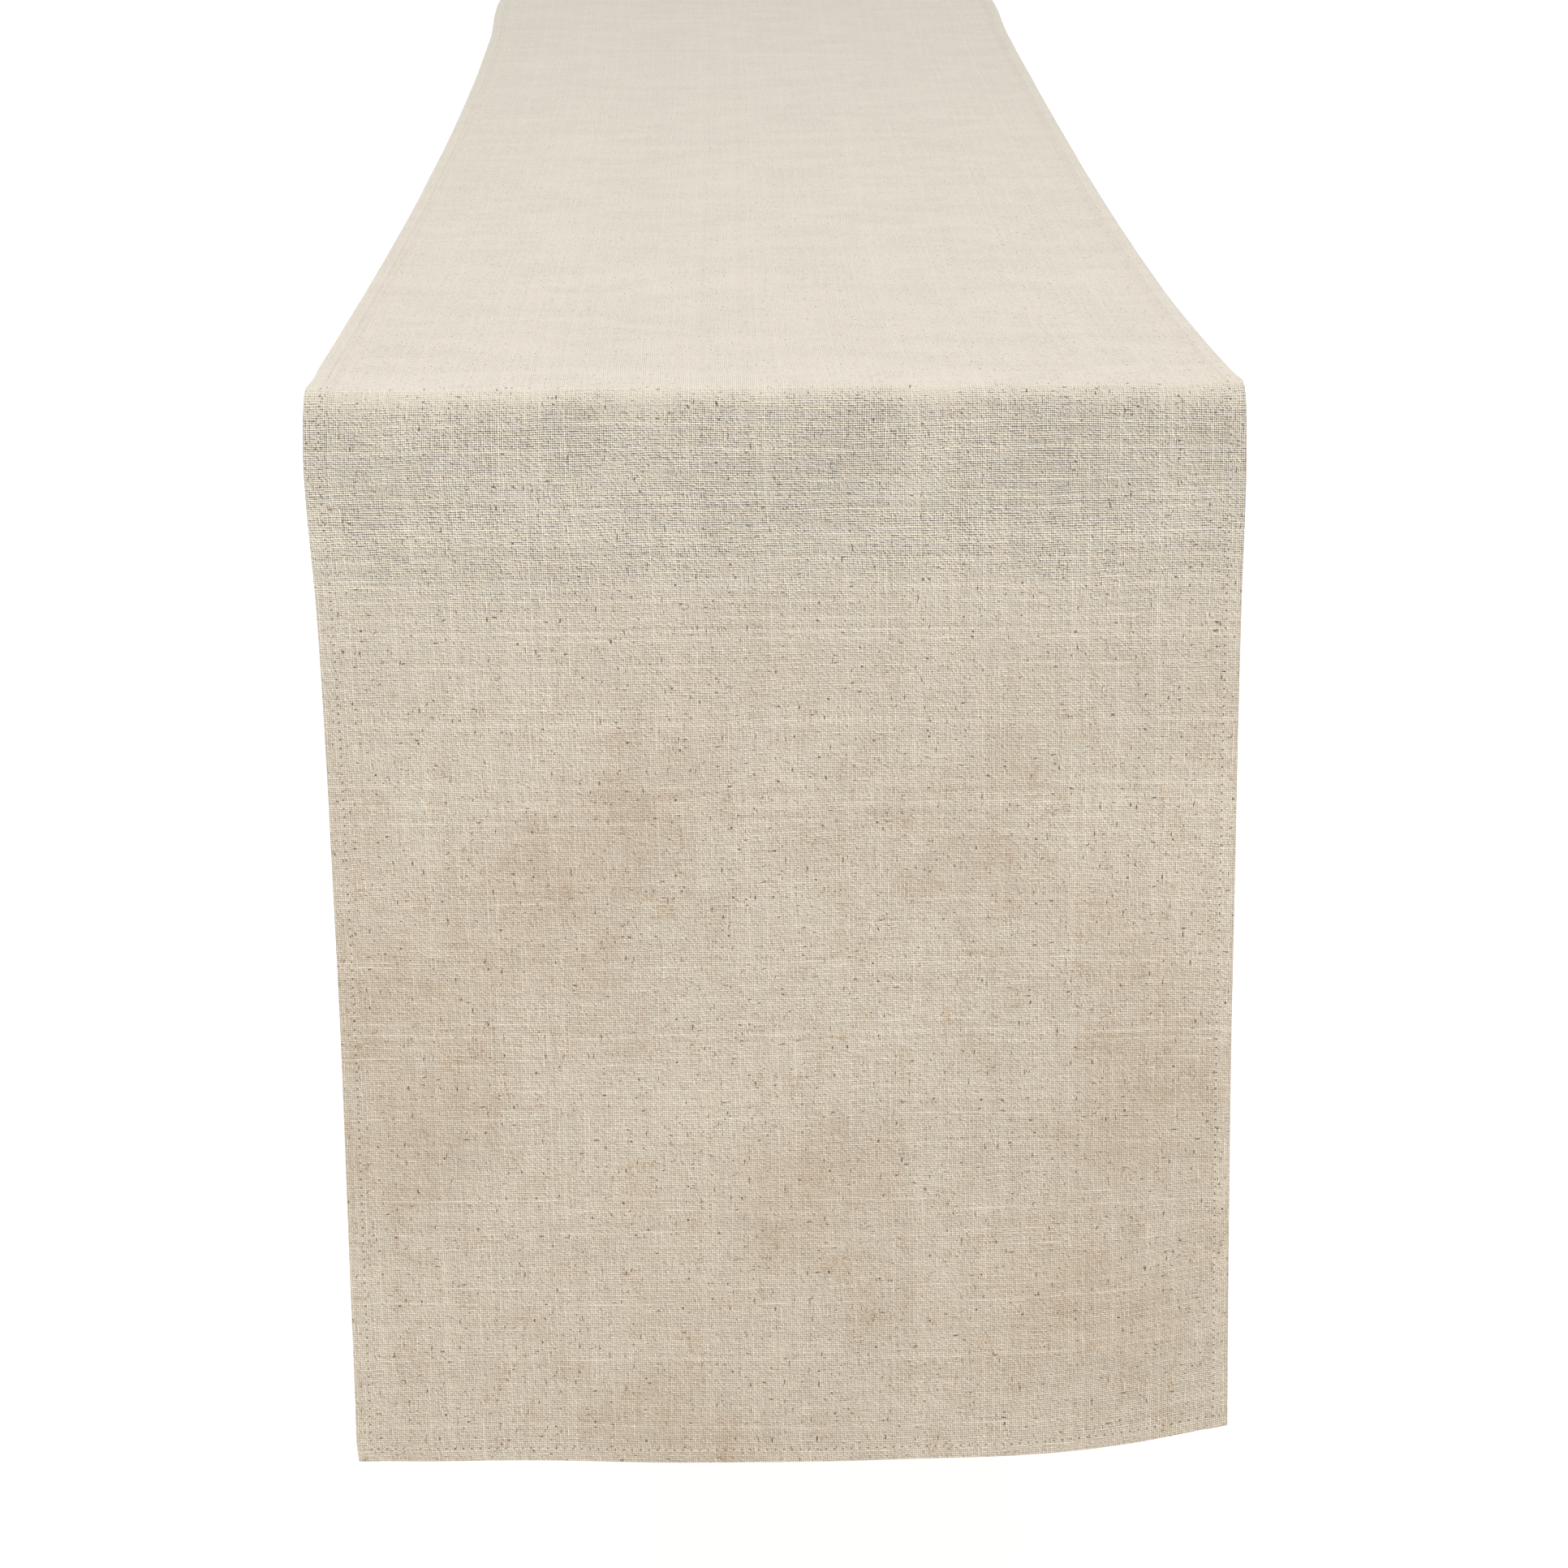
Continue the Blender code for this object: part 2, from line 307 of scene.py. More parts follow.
def smoothstep(low, high, value):
    t = np.clip((value - low) / (high - low), 0.0, 1.0)
    return t * t * (3.0 - 2.0 * t)


def line_through(points, at):
    """A smooth line through (place, value) points, with each slope taken from the neighbours."""
    knots, values = np.array(points).T
    slopes = np.gradient(values, knots)
    i = np.clip(np.searchsorted(knots, at) - 1, 0, len(knots) - 2)
    gap = knots[i + 1] - knots[i]
    t = np.clip((at - knots[i]) / gap, 0.0, 1.0)
    start = (1 + 2 * t) * (1 - t) ** 2 * values[i] + t * (1 - t) ** 2 * gap * slopes[i]
    end = t * t * (3 - 2 * t) * values[i + 1] + t * t * (t - 1) * gap * slopes[i + 1]
    return start + end


def side_hem_share(across):
    """0 in the open cloth, 1 over the side hems' turned layers."""
    inner = HALF_WIDTH - HEM_WIDTH
    return smoothstep(inner - HEM_RAMP, inner, np.abs(across))


def end_hem_share(along):
    inner = HALF_LENGTH - HEM_WIDTH
    return smoothstep(inner - HEM_RAMP, inner, np.abs(along))


def base_height(across, along):
    """The lowest layer lies on the table, but over a hem the bobbin thread lifts it."""
    return TABLE_GAP + 2 * THREAD_RADIUS * np.maximum(side_hem_share(across), end_hem_share(along))


def stack_height(across, along):
    """How thick the layers are together, from the lowest one's underside to the face."""
    furrow = np.exp(-(((np.abs(across) - SIDE_STITCH) / STITCH_FURROW) ** 2))
    furrow = np.maximum(furrow, np.exp(-(((np.abs(along) - END_STITCH) / STITCH_FURROW) ** 2)))
    layers = 1 + 2 * side_hem_share(across) + 2 * end_hem_share(along)
    return THICKNESS * layers - STITCH_PULL * furrow


def creases(across, down, end):
    """The front drop's creases, each a low ridge that dies away at both ends."""
    total = 0.0 * across * down
    for from_x, from_down, to_x, to_down, height, half_width in CREASES:
        run_x, run_down = to_x - from_x, to_down - from_down
        share = ((across - from_x) * run_x + (down - from_down) * run_down) / (run_x**2 + run_down**2)
        nearest = np.clip(share, 0.0, 1.0)
        off = np.hypot(across - from_x - nearest * run_x, down - from_down - nearest * run_down)
        fade = smoothstep(*CREASE_FADE, share) * smoothstep(*CREASE_FADE, 1.0 - share)
        total = total + height * fade * np.exp(-((off / half_width) ** 2))
    return np.where(end < 0.5, total, 0.0)


def waves(across, along):
    """How far the hanging cloth stands off its plane."""
    end = np.where(along < 0, 0.0, 1.0)
    down = np.abs(along) - TOP_HALF_LENGTH - BEND_LENGTH
    depth = sum(
        size * np.sin(2 * math.pi * (a * across + b * down) + phase + BACK_PHASE * end)
        for size, a, b, phase in WAVES
    )
    hanging = smoothstep(0.0, WAVE_START, down)
    lying = smoothstep(0.0, TABLE_WAVE_STOP, TOP_HALF_LENGTH - np.abs(along)) * TABLE_WAVE
    on_drop = (depth + DROP_STANDOFF) * hanging
    on_table = (depth + TABLE_STANDOFF) * lying
    return on_drop + on_table + creases(across, down, end)


def laid(across, along, height):
    """Where a point of the flat cloth is once it is laid over the table. along is negative at the
    front end, and height is measured outwards from the table."""
    across, along, height = np.broadcast_arrays(across, along, height)
    share = (across + HALF_WIDTH) / (2 * HALF_WIDTH)
    out_left = line_through(LEFT_OUTLINE, along)
    out_right = line_through(RIGHT_OUTLINE, along)
    x = across - out_left * (1 - share) + out_right * share
    up = np.where(along < 0, line_through(FRONT_HANG, across), line_through(BACK_HANG, across))
    to_end = (HALF_LENGTH - np.abs(along)) / HANG_REACH
    run = np.abs(along) - up * smoothstep(0.0, 1.0, 1.0 - to_end)
    height = height + waves(across, along)
    turn = np.clip((run - TOP_HALF_LENGTH) / EDGE_RADIUS, 0.0, math.pi / 2)
    below = np.maximum(run - TOP_HALF_LENGTH - BEND_LENGTH, 0.0)
    y = np.minimum(run, TOP_HALF_LENGTH) + (EDGE_RADIUS + height) * np.sin(turn)
    z = EDGE_RADIUS * (np.cos(turn) - 1) + height * np.cos(turn) - below
    return np.stack([x, np.sign(along) * y, z], axis=-1)


def add_piece(name, mesh):
    piece = bpy.data.objects.new(name, mesh)
    bpy.context.scene.collection.objects.link(piece)
    return piece


def add_cloth_strip(name, outer, inner, flat, material):
    """A closed strip of cloth from matched grids of points on its two faces. flat holds each grid
    point's place on the flat cloth, which the weave follows."""
    rows, columns = outer.shape[:2]
    count = rows * columns
    index = np.arange(count).reshape(rows, columns)
    quads = np.stack([index[:-1, :-1], index[:-1, 1:], index[1:, 1:], index[1:, :-1]], axis=-1)
    quads = quads.reshape(-1, 4)
    rim = np.concatenate([index[0, :-1], index[:-1, -1], index[-1, :0:-1], index[:0:-1, 0]])
    after = np.roll(rim, -1)
    walls = np.stack([rim, rim + count, after + count, after], axis=-1)
    faces = np.concatenate([quads, quads[:, ::-1] + count, walls])
    # The grid's first face has to look out of the strip.
    corner = outer.reshape(-1, 3)[quads[0]]
    faces_up = np.cross(corner[1] - corner[0], corner[3] - corner[0])
    if np.dot(faces_up, outer[0, 0] - inner[0, 0]) < 0:
        faces = faces[:, ::-1]
    mesh = bpy.data.meshes.new(name)
    places = np.concatenate([outer.reshape(-1, 3), inner.reshape(-1, 3)])
    mesh.from_pydata(places.tolist(), [], faces.tolist())
    on_flat = np.concatenate([flat.reshape(-1, 2)] * 2)
    corners = np.empty(len(mesh.loops), dtype=np.int32)
    mesh.loops.foreach_get("vertex_index", corners)
    mesh.uv_layers.new(name="flat_cloth").data.foreach_set("uv", on_flat[corners].ravel())
    mesh.polygons.foreach_set("use_smooth", [True] * len(mesh.polygons))
    mesh.set_sharp_from_angle(angle=SHARP_FOLD)
    mesh.materials.append(material)
    mesh.update()
    return add_piece(name, mesh)


def outer_fold(edge):
    """The cloth's last stretch, round the outer fold: (place on the face, place inside, place on the
    flat cloth, how level it is), from 1 on the face to -1 where it has turned under."""
    centre = edge - FOLD_RADIUS
    turn = np.linspace(math.pi / 2, -math.pi / 2, FOLD_STEPS + 1)
    inside = centre + (FOLD_RADIUS - THICKNESS) * np.cos(turn)
    on_flat = centre + FOLD_RADIUS * (math.pi / 2 - turn)
    return np.stack([centre + FOLD_RADIUS * np.cos(turn), inside, on_flat, np.sin(turn)])


def open_stretch(places):
    return np.stack([places, places, places, np.ones(len(places))])


def across_lines():
    """Grid lines from the left outer fold to the right one."""
    inner = HALF_WIDTH - OPEN_CLOTH
    middle = np.linspace(-inner, inner, round(2 * inner / CLOTH_STEP) + 1)
    hem = open_stretch(HALF_WIDTH - np.array(HEM_LINES))
    right = np.concatenate([hem, outer_fold(HALF_WIDTH)], axis=1)
    left = right[:, ::-1] * np.array([[-1], [-1], [-1], [1]])
    return np.concatenate([left, open_stretch(middle), right], axis=1)


def along_lines():
    """Grid lines from the middle of the table to the end hem's outer fold."""
    inner = HALF_LENGTH - OPEN_CLOTH
    hang = TOP_HALF_LENGTH + BEND_LENGTH
    table = np.linspace(0.0, TOP_HALF_LENGTH - TOP_STEP, round(TOP_HALF_LENGTH / TOP_STEP))
    bend = np.linspace(TOP_HALF_LENGTH, hang, BEND_STEPS + 1)
    drop = np.linspace(hang + CLOTH_STEP, inner, round((inner - hang) / CLOTH_STEP))
    hem = HALF_LENGTH - np.array(HEM_LINES)
    lines = np.concatenate([table, [TOP_HALF_LENGTH - CLOTH_STEP], bend, drop, hem])
    return np.concatenate([open_stretch(lines), outer_fold(HALF_LENGTH)], axis=1)


def add_cloth_half(name, end, material):
    face_x, under_x, flat_x, level_x = across_lines()[:, None, :]
    face_s, under_s, flat_s, level_s = along_lines()[:, :, None]
    level = np.minimum(level_x, level_s)
    stack = stack_height(face_x, face_s)
    base = base_height(face_x, face_s)
    outer = laid(face_x, end * face_s, base + stack / 2 * (1 + level))
    inner = laid(under_x, end * under_s, base + stack / 2 + (stack / 2 - THICKNESS) * level)
    flat = np.stack(np.broadcast_arrays(flat_x, end * flat_s), axis=-1)
    return add_cloth_strip(name, outer, inner, flat, material)


# The weave. Its pitches are metres on the flat cloth, its widths shares of the pitch, and its spread
# how much they differ from yarn to yarn. The warp runs along the runner.
WARP = {"pitch": 0.00075, "width": 0.305, "spread": 0.050, "seed": 11.0}
WEFT = {"pitch": 0.00080, "width": 0.380, "spread": 0.060, "seed": 47.0}
# How the yarns wander, as (lumps a metre across, lumps a metre along, seed, metres to and fro).
WARP_WANDER = [(20, 9, 3, 0.0030), (150, 60, 5, 0.0004)]
WEFT_WANDER = [(8, 24, 7, 0.0040), (60, 150, 9, 0.0007)]
# What changes along one yarn, as (lumps a metre, how unlike neighbours are, how fine the detail is).
THICK_AND_THIN = (90.0, 1.37, 3.0)
UNBLEACHED = (125.0, 0.83, 3.0)
SLUBS = (36.0, 3.71, 3.0)
YARN_NOISE_ROUGHNESS = 0.62
SLUBBY_YARNS = (0.86, 0.92)  # only the few yarns above this share have slubs
SLUB_SHOWS = (0.46, 0.66)
SLUB_WIDTH = 0.08
UNBLEACHED_SHOWS = (0.57, 0.68)
TONE = {"own": 0.10, "thick": 0.42, "least": 0.74}  # a thicker stretch of yarn looks paler
YARN_DIVES = (0.20, 0.50)  # how far from the crossing yarn's middle a yarn goes under it, in pitches
# The gaps between the yarns, in pitches.
GAP_LEAST = 0.055
GAP_VARIES = 0.13
GAP_EDGE = (-0.07, 0.12)  # where a gap starts and is fully dark, off the yarn's edge
GAPS_OPEN = 1.21  # over 1, so most gaps are fully dark where nothing lies behind
STITCH_LENGTH = 0.0032
HOLE_RADIUS = (0.00018, 0.00042)  # dark inside the first, gone outside the second

# What changes over the cloth: lumps a metre across and along, how fine, how rough, and from which
# share of the noise to which it comes up.
MOTTLE = {"across": 60, "along": 55, "detail": 4.0, "roughness": 0.62, "seed": 13}
MOTTLE_SHOWS = (0.46, 0.72)
STAINS = {"across": 10, "along": 8, "detail": 3.0, "roughness": 0.55, "seed": 51}
STAINS_SHOW = (0.45, 0.70)
CLOUDS = {"across": 11, "along": 9, "detail": 4.0, "roughness": 0.6, "seed": 23}
LOOSER_WOVEN = {"across": 26, "along": 32, "detail": 4.0, "roughness": 0.6, "seed": 37}
LOOSER_SHOWS = (0.34, 0.66)
BARK_CHIPS = {"across": 330, "along": 950, "seed": 29}
STALKS = {"across": 1000, "along": 270, "seed": 31}
BARK_SHOWS = (0.715, 0.765)
LINT = {"across": 240, "along": 760, "seed": 43}
LINT_SHOWS = (0.760, 0.800)
SPECK_CELLS = 55.0  # cells a metre, of which some hold a dark speck
SPECK_CHOSEN = (0.74, 0.76)
SPECK_RADIUS = (0.014, 0.032)  # in cells

# Where the cloth changes along its length, in metres beyond the stretch on the table.
NO_TABLE_BEHIND = (0.001, 0.017)
CLOSER_WOVEN = (0.025, 0.095)
# painted shade of the hanging cloth comes in over this stretch
DROP_SHADE_STARTS = (0.03, 0.11)
END_COLOUR = (0.05, 0.17)
# and deepens over this one
DROP_SHADE_DEEPENS = (0.10, 0.38)
FOLD_HIGHLIGHT_SPAN = (0.004, 0.075)  # painted highlight, either way from the fold over the edge
FOLD_HIGHLIGHT_PALER = 0.035
MEAN_SHADE = 0.895  # of all the yarns together

# Linear colours.
YARN = (0.735, 0.665, 0.555)
# painted shade: the yarn's colour on the hanging cloth, darker and warmer
YARN_IN_DROP_SHADE = (0.673, 0.594, 0.479)
YARN_WARM = (0.560, 0.420, 0.280)  # unbleached stretches of yarn
STAIN = (0.520, 0.400, 0.282)
SLUB = (0.860, 0.810, 0.700)  # and the lint
# painted shade seen through the gaps between the yarns
GAP_SHADE = (0.060, 0.050, 0.038)
GAP_SHADE_WARM = (0.185, 0.120, 0.065)  # painted shade seen through the gaps, warmer towards the ends
FLECK = (0.160, 0.100, 0.062)  # bark
SPECK_AND_HOLE_SHADE = (0.060, 0.042, 0.030)  # and the painted shade in the needle's holes


class Weave(Paint):
    """Paint that knows where on the flat cloth it is."""

    def field(self, across, along, detail=2.0, roughness=0.5, seed=0.0):
        """Soft noise with that many lumps a metre across and along."""
        place = self.add(
            "ShaderNodeMapping",
            {},
            {"Vector": self.flat, "Location": (seed, seed * 0.37, 0.0), "Scale": (across, along, 1.0)},
        )
        return self.add(
            "ShaderNodeTexNoise",
            {"noise_dimensions": "2D"},
            {"Vector": place, "Scale": 1.0, "Detail": detail, "Roughness": roughness},
        )

    def rise(self, value, low, high):
        """0 below low, 1 above high, smooth between."""
        return self.add(
            "ShaderNodeMapRange",
            {"interpolation_type": "SMOOTHSTEP"},
            {"Value": value, "From Min": low, "From Max": high},
        )

    def blend(self, share, first, second):
        first = first if isinstance(first, Paint) else (*first, 1.0)
        second = second if isinstance(second, Paint) else (*second, 1.0)
        return self.add("ShaderNodeMix", {"data_type": "RGBA"}, {0: share, 6: first, 7: second}, out=2)

    def dim(self, colour, share):
        return self.add("ShaderNodeVectorMath", {"operation": "SCALE"}, {0: colour, "Scale": share})


def yarns(weave, place, other, pitch, width, spread, seed):
    """One set of parallel yarns: the count at a point, which yarn it is, how far the point is from the
    yarn's middle in pitches, and the yarn's own half width, tone, flax colour and slub there."""
    count = place / pitch
    number = count.math("FLOOR")
    off_middle = (count - number - 0.5).math("ABSOLUTE")
    own = weave.add("ShaderNodeTexWhiteNoise", {"noise_dimensions": "1D"}, {"W": number + seed})

    def along_yarn(lumps, apart, detail):
        """Noise with that many lumps a metre along each yarn. apart keeps neighbours unlike."""
        strand = weave.add("ShaderNodeCombineXYZ", {}, {0: number * apart + seed, 1: other * lumps})
        return weave.add(
            "ShaderNodeTexNoise",
            {"noise_dimensions": "2D"},
            {"Vector": strand, "Scale": 1.0, "Detail": detail, "Roughness": YARN_NOISE_ROUGHNESS},
        )

    thick = along_yarn(*THICK_AND_THIN)
    flax = weave.rise(along_yarn(*UNBLEACHED), *UNBLEACHED_SHOWS)
    slub = weave.rise(own, *SLUBBY_YARNS) * weave.rise(along_yarn(*SLUBS), *SLUB_SHOWS)
    # The two noises average a half, so this keeps the yarns' mean at the given width.
    half_width = own * spread + thick * (spread * 2.0) + slub * SLUB_WIDTH + (width - spread * 1.5)
    tone = own * TONE["own"] + thick * TONE["thick"] + TONE["least"]
    return count, number, off_middle, half_width, tone, flax, slub


def woven_material(name, layered):
    """layered cloth lies on other layers of itself, so its gaps are less dark."""
    material, weave = new_material(name)
    weave = Weave(weave.tree)
    weave.flat = weave.add("ShaderNodeUVMap", {"uv_map": "flat_cloth"})
    across = weave.add("ShaderNodeSeparateXYZ", {}, {0: weave.flat}, out=0)
    along = weave.add("ShaderNodeSeparateXYZ", {}, {0: weave.flat}, out=1)

    def wandered(place, wander):
        """The yarns are never quite parallel."""
        for lumps_across, lumps_along, seed, sway in wander:
            place = place + (weave.field(lumps_across, lumps_along, seed=seed) - 0.5) * sway
        return place

    warps, warp, off_warp, warp_width, warp_tone, warp_tint, warp_slub = yarns(
        weave, wandered(across, WARP_WANDER), along, **WARP
    )
    wefts, weft, off_weft, weft_width, weft_tone, weft_tint, weft_slub = yarns(
        weave, wandered(along, WEFT_WANDER), across, **WEFT
    )

    over = ((warp + weft) * 0.5).math("FRACT") * 2.0  # 1 where the warp yarn is on top
    nearest_gap = {0: (warps + 0.5).math("FLOOR"), 1: (wefts + 0.5).math("FLOOR")}
    corner = weave.add("ShaderNodeCombineXYZ", {}, nearest_gap)
    gap_size = weave.add("ShaderNodeTexWhiteNoise", {"noise_dimensions": "2D"}, {"Vector": corner})
    room = gap_size * GAP_VARIES + GAP_LEAST
    starts, ends = GAP_EDGE
    gap = weave.rise(off_warp, warp_width - room + starts, warp_width - room + ends)
    gap = gap * weave.rise(off_weft, weft_width - room + starts, weft_width - room + ends)
    dips = over * weave.rise(off_weft, *YARN_DIVES) + (1 - over) * weave.rise(off_warp, *YARN_DIVES)
    tone = over * warp_tone + (1 - over) * weft_tone
    tint = over * warp_tint + (1 - over) * weft_tint
    crossing = weave.add("ShaderNodeCombineXYZ", {}, {0: warp, 1: weft})
    crown = weave.add("ShaderNodeTexWhiteNoise", {"noise_dimensions": "2D"}, {"Vector": crossing})

    # Towards each end the unbleached flax colour comes through more in the yarns' tints, and beyond the
    # table's edge the yarn's colour is painted darker and warmer, as painted shade of the hanging cloth.
    reach = along.math("ABSOLUTE")

    def beyond_table(stretch):
        """0 above that stretch of the hanging cloth, 1 below it."""
        low, high = stretch
        return weave.rise(reach, TOP_HALF_LENGTH + low, TOP_HALF_LENGTH + high)

    hanging = beyond_table(NO_TABLE_BEHIND)
    end_share = beyond_table(END_COLOUR)
    # The share of painted shade on the hanging cloth, more further down.
    flax = beyond_table(DROP_SHADE_STARTS) * 0.5 + beyond_table(DROP_SHADE_DEEPENS) * 0.5
    colour = weave.blend(flax, YARN, YARN_IN_DROP_SHADE)
    patch = weave.rise(weave.field(**MOTTLE), *MOTTLE_SHOWS)
    stain = weave.rise(weave.field(**STAINS), *STAINS_SHOW)
    warm = tint * (patch * 0.75 + 0.50) * (end_share * 0.80 + 0.20)
    soiled = (patch * 0.20 + stain * 0.32) * end_share
    colour = weave.blend(soiled, weave.blend(warm, colour, YARN_WARM), STAIN)

    # How light or dark each crossing is. The yarn dips and is painted darker with shade where it goes
    # under.
    cloud = weave.field(**CLOUDS)
    shade = (crown * 0.30 + 0.89) * (1 - dips * 0.32) * (cloud * 0.14 + 0.93)
    table_calm = hanging * 0.6 + 0.4  # lying on the table, the yarns' painted shade is weaker, and the cloth there is painted a little darker overall
    # A painted highlight makes the cloth paler either way from the fold over the table's edge.
    fold_highlight = 1 - weave.rise((reach - TOP_HALF_LENGTH).math("ABSOLUTE"), *FOLD_HIGHLIGHT_SPAN)
    colour = weave.dim(colour, (tone * shade - MEAN_SHADE) * table_calm + MEAN_SHADE + fold_highlight * FOLD_HIGHLIGHT_PALER)

    # Here and there a thicker, paler stretch of yarn stands out as a line.
    pale = weft_slub * (1 - weave.rise(off_weft, 0.26, 0.46)) * 0.26
    pale = pale.math("MAXIMUM", warp_slub * (1 - weave.rise(off_warp, 0.24, 0.44)) * 0.13)
    colour = weave.blend(pale * table_calm, colour, SLUB)

    # Bits of bark and white lint left in the yarn, and a few dark specks.
    chip = weave.rise(weave.field(**BARK_CHIPS), *BARK_SHOWS)
    stalk = weave.rise(weave.field(**STALKS), *BARK_SHOWS)
    colour = weave.blend((chip + stalk) * 0.92, colour, FLECK)
    lint = weave.rise(weave.field(**LINT), *LINT_SHOWS) * end_share
    colour = weave.blend(lint * 0.70, colour, SLUB)
    specks = {"Vector": weave.flat, "Scale": SPECK_CELLS}
    away = weave.add("ShaderNodeTexVoronoi", {"voronoi_dimensions": "2D"}, specks)
    chosen = weave.add("ShaderNodeTexVoronoi", {"voronoi_dimensions": "2D"}, specks, out=1)
    chosen = weave.add("ShaderNodeSeparateXYZ", {}, {0: chosen})
    speck = (1 - weave.rise(away, *SPECK_RADIUS)) * weave.rise(chosen, *SPECK_CHOSEN)
    colour = weave.blend(speck * 0.85, colour, SPECK_AND_HOLE_SHADE)

    # The gaps are painted with the shade behind the cloth. The table and, over the hems, the layers
    # below fill them with light.
    side_hem = HALF_WIDTH - HEM_WIDTH
    end_hem = HALF_LENGTH - HEM_WIDTH
    over_hem = weave.rise(across.math("ABSOLUTE"), side_hem, side_hem + WEFT["pitch"])
    over_hem = over_hem.math("MAXIMUM", weave.rise(reach, end_hem, end_hem + WEFT["pitch"]))
    open_patch = weave.rise(weave.field(**LOOSER_WOVEN), *LOOSER_SHOWS)
    shut = beyond_table(CLOSER_WOVEN)
    # How much painted shade shows in the gaps.
    openness = (open_patch - 0.5) * (1 - shut * 0.75) * 0.80 + GAPS_OPEN
    openness = openness * (1 - shut * 0.58) * (hanging * 0.75 + 0.25)
    openness = openness * (gap_size * 0.8 + 0.6) * (1 - over_hem * 0.20) * (1 - pale)
    openness = openness * (0.6 if layered else 1.0)
    colour = weave.blend(
        (gap * openness).math("MINIMUM", 1.0), colour, weave.blend(end_share, GAP_SHADE, GAP_SHADE_WARM)
    )

    # The needle's holes, one at each end of a stitch, painted dark with shade.
    def holes(row, off_row, run):
        beside = ((run / STITCH_LENGTH + 0.5).math("FRACT") - 0.5) * STITCH_LENGTH
        far = (beside * beside + (off_row - row) * (off_row - row)).math("SQRT")
        return 1 - weave.rise(far, *HOLE_RADIUS)

    side_rows = holes(SIDE_STITCH, across.math("ABSOLUTE"), along)
    side_rows = side_rows * (1 - weave.rise(reach, END_STITCH, END_STITCH + 0.001))
    end_rows = holes(END_STITCH, reach, across)
    end_rows = end_rows * (1 - weave.rise(across.math("ABSOLUTE"), SIDE_STITCH, SIDE_STITCH + 0.001))
    needle_hole = side_rows.math("MAXIMUM", end_rows)
    colour = weave.blend(needle_hole * 0.85, colour, SPECK_AND_HOLE_SHADE)

    height = (1 - gap) * (1 - dips * 0.45) * 0.8 + tone * 0.2 - needle_hole * 0.6
    bump = weave.add("ShaderNodeBump", {}, {"Strength": 0.40, "Distance": 0.00022, "Height": height})
    shader = weave.add(
        "ShaderNodeBsdfPrincipled",
        {},
        {
            "Base Color": colour,
            "Roughness": 0.93 - tone * 0.08,
            "Normal": bump,
            "Sheen Weight": 0.35,
            "Sheen Roughness": 0.45,
            "Sheen Tint": (1.0, 1.0, 1.0, 1.0),
            "Specular IOR Level": 0.25,
        },
    )
    finish_material(weave, shader)
    return material


FRONT = -1
BACK = 1
ENDS = {"front": FRONT, "back": BACK}


def blend_over_edge(piece):
    """Bakes the piece's placement into its mesh."""
    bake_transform(piece)


woven_cloth = woven_material("woven_cloth", layered=False)
cloth = {}
for end, sign in ENDS.items():
    cloth[end] = add_cloth_half(f"{end}_cloth", sign, woven_cloth)
    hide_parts("top_cloth", f"{end}_bend_cloth", f"{end}_drop_cloth")
    blend_over_edge(cloth[end])


# ---------------------------------------------------------------------------------------------------
# The side hems. The same cloth's edge, turned under twice and pressed flat, so that two layers lie
# under the face with the raw edge shut inside.

RAW_EDGE = 0.0016  # how far short of the outer fold the raw edge stops
LAYER_GAP = 0.04  # half the slit between the two layers, as a share of the thickness
LAYER_START = 0.00005  # how far in from the outer fold the lower layer starts
LAYER_STEPS = 6
TURN_STEPS = 5


def hem_section():
    """The two turned layers seen end on, as matched points (distance in from the outer edge, height)
    on their outside and in the slit between them."""
    fold = HEM_WIDTH - THICKNESS
    lower = np.linspace(FOLD_RADIUS + LAYER_START, fold, LAYER_STEPS)
    upper = np.linspace(fold, RAW_EDGE, LAYER_STEPS)
    turn = np.linspace(-math.pi / 2, math.pi / 2, TURN_STEPS + 2)[1:-1]
    slit = LAYER_GAP * THICKNESS
    outside_in = np.concatenate([lower, fold + THICKNESS * np.cos(turn), upper])
    face_up = np.full(LAYER_STEPS, (2 - LAYER_GAP) * THICKNESS)
    outside_up = np.concatenate([0 * lower, THICKNESS * (1 + np.sin(turn)), face_up])
    slit_in = np.concatenate([lower, fold + slit * np.cos(turn), upper])
    slit_up = THICKNESS + slit * np.concatenate([0 * lower - 1, np.sin(turn), 0 * upper + 1])
    return outside_in, outside_up, slit_in, slit_up


def hem_flat():
    """How far round the turned layers each point of the section is, from the outer fold."""
    outside_in, outside_up = hem_section()[:2]
    steps = np.hypot(np.diff(outside_in), np.diff(outside_up))
    return math.pi * FOLD_RADIUS + np.concatenate([[0.0], np.cumsum(steps)])


def pinched(across, along):
    """The share of its height that a layer keeps under the stitches' pull."""
    layers = 1 + 2 * side_hem_share(across) + 2 * end_hem_share(along)
    return stack_height(across, along) / (THICKNESS * layers)


def add_side_hem(name, end, side, material):
    outside_in, outside_up, slit_in, slit_up = (part[None, :] for part in hem_section())
    along = along_lines()[0]
    along = along[along < HALF_LENGTH - FOLD_RADIUS][:, None]
    lift = 2 * THICKNESS * end_hem_share(along)

    def place(inwards, up):
        across = side * (HALF_WIDTH - inwards)
        height = base_height(across, along) + (up + lift) * pinched(across, along)
        return laid(across, end * along, height)

    flat = np.stack(np.broadcast_arrays(side * (HALF_WIDTH + hem_flat()), end * along), axis=-1)
    return add_cloth_strip(name, place(outside_in, outside_up), place(slit_in, slit_up), flat, material)


SIDES = {"left": -1, "right": 1}

